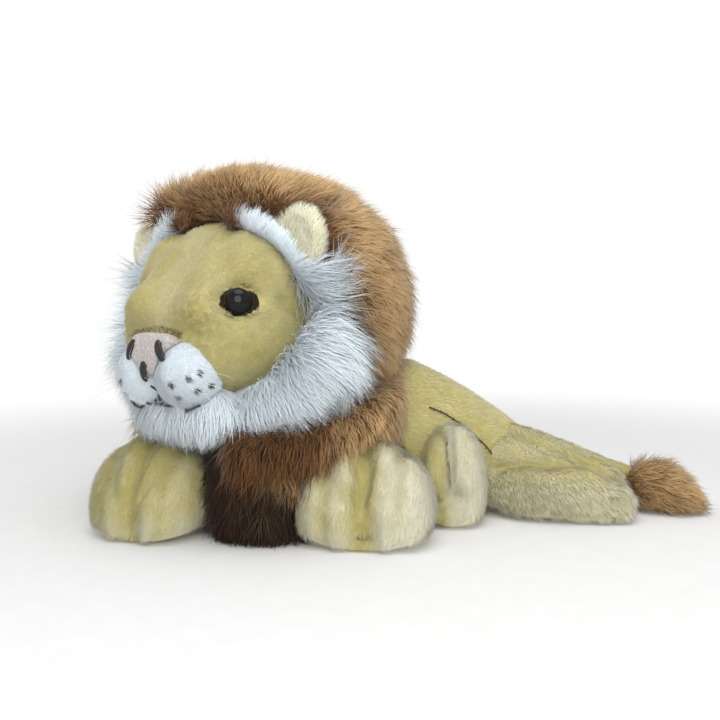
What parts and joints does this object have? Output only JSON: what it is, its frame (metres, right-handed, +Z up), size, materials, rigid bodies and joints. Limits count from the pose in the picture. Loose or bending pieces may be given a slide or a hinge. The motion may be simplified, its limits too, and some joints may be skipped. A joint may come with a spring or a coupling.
{
  "type": "plush lion",
  "caption": "Lying stuffed toy lion with a long-pile mane, white ruff, domed eyes, splayed forelegs, hind legs to one side and a tufted tail; sewn limbs bend at their seams",
  "frame": {"origin": "on the flat of the belly, on the floor plane", "axes": "+Z up, the chest towards -Y and the rump towards +Y, the lion's left towards +X"},
  "size_m": [0.2744, 0.4149, 0.2535],
  "materials": {
    "tan_plush": "short tan plush, velvety",
    "cream_plush": "pale plush",
    "white_plush": "white plush and pile",
    "mane_pile": "long caramel pile",
    "dark_pile": "long dark brown pile",
    "stuffing": "polyester fibre filling",
    "pellet_cloth": "cloth bag of plastic pellets",
    "nose_velour": "short velour",
    "black_thread": "embroidery thread",
    "black_felt": "felt",
    "eye_plastic": "glossy black",
    "washer_plastic": "satin"
  },
  "bodies": {
    "torso": {"torso_skin": "tan_plush", "torso_stuffing": "stuffing", "belly_pellet_bag": "pellet_cloth", "closing_seam_thread": "black_thread", "chest_mane": "dark_pile", "shoulder_mane_left": "mane_pile", "shoulder_mane_right": "mane_pile"},
    "head": {"head_skin": "tan_plush", "head_stuffing": "stuffing", "muzzle": "white_plush", "chin_tuft": "white_plush", "nose_patch": "nose_velour", "nostril_stitch_left": "black_thread", "nostril_stitch_right": "black_thread", "nose_centre_stitch": "black_thread", "eye_left": "eye_plastic", "eye_right": "eye_plastic", "eye_washer_left": "washer_plastic", "eye_washer_right": "washer_plastic", "eye_liner_left": "black_felt", "eye_liner_right": "black_felt", "ruff_left": "white_plush", "ruff_right": "white_plush", "mane_crest": "mane_pile", "mane_left": "mane_pile", "mane_right": "mane_pile"},
    "ear_left": {"ear_left_front": "cream_plush", "ear_left_back": "tan_plush"},
    "ear_right": {"ear_right_front": "cream_plush", "ear_right_back": "tan_plush"},
    "foreleg_left": {"foreleg_left_skin": "tan_plush", "foreleg_left_stuffing": "stuffing"},
    "foreleg_right": {"foreleg_right_skin": "tan_plush", "foreleg_right_stuffing": "stuffing"},
    "hindleg_left": {"hindleg_left_skin": "tan_plush", "hindleg_left_stuffing": "stuffing"},
    "hindleg_right": {"hindleg_right_skin": "tan_plush", "hindleg_right_stuffing": "stuffing"},
    "tail": {"tail_skin": "tan_plush", "tail_stuffing": "stuffing", "tail_tuft": "mane_pile"}
  },
  "joints": [
    {"name": "head_turn", "type": "hinge", "parent": "torso", "child": "head", "pos_m": [-0.01299, -0.11018, 0.088], "axis": [0.042, -0.2382, 0.9703], "range_deg": [-15, 15], "stiffness_Nm_per_rad": 0.15},
    {"name": "foreleg_left_swing", "type": "hinge", "parent": "torso", "child": "foreleg_left", "pos_m": [0.02928, -0.03562, 0], "axis": [0, 0, 1], "range_deg": [-8, 3], "stiffness_Nm_per_rad": 0.08},
    {"name": "foreleg_right_swing", "type": "hinge", "parent": "torso", "child": "foreleg_right", "pos_m": [-0.06796, -0.12183, 0], "axis": [0, 0, 1], "range_deg": [-14, 5], "stiffness_Nm_per_rad": 0.08},
    {"name": "hindleg_left_swing", "type": "hinge", "parent": "torso", "child": "hindleg_left", "pos_m": [0.06634, 0.05862, 0], "axis": [0, 0, 1], "range_deg": [-11, 0], "stiffness_Nm_per_rad": 0.08},
    {"name": "hindleg_right_swing", "type": "hinge", "parent": "torso", "child": "hindleg_right", "pos_m": [0.05909, 0.01202, 0], "axis": [0, 0, 1], "range_deg": [-3, 3], "stiffness_Nm_per_rad": 0.08},
    {"name": "tail_swing", "type": "hinge", "parent": "torso", "child": "tail", "pos_m": [0.05964, 0.10002, 0], "axis": [0, 0, 1], "range_deg": [0, 25], "stiffness_Nm_per_rad": 0.02},
    {"name": "ear_left_fold", "type": "hinge", "parent": "head", "child": "ear_left", "pos_m": [0.05274, -0.12595, 0.1897], "axis": [-0.5513, -0.2635, 0.7916], "range_deg": [-8, 14], "stiffness_Nm_per_rad": 0.01},
    {"name": "ear_right_fold", "type": "hinge", "parent": "head", "child": "ear_right", "pos_m": [-0.03886, -0.17263, 0.1897], "axis": [-0.5372, -0.2911, -0.7916], "range_deg": [-8, 14], "stiffness_Nm_per_rad": 0.01}
  ]
}
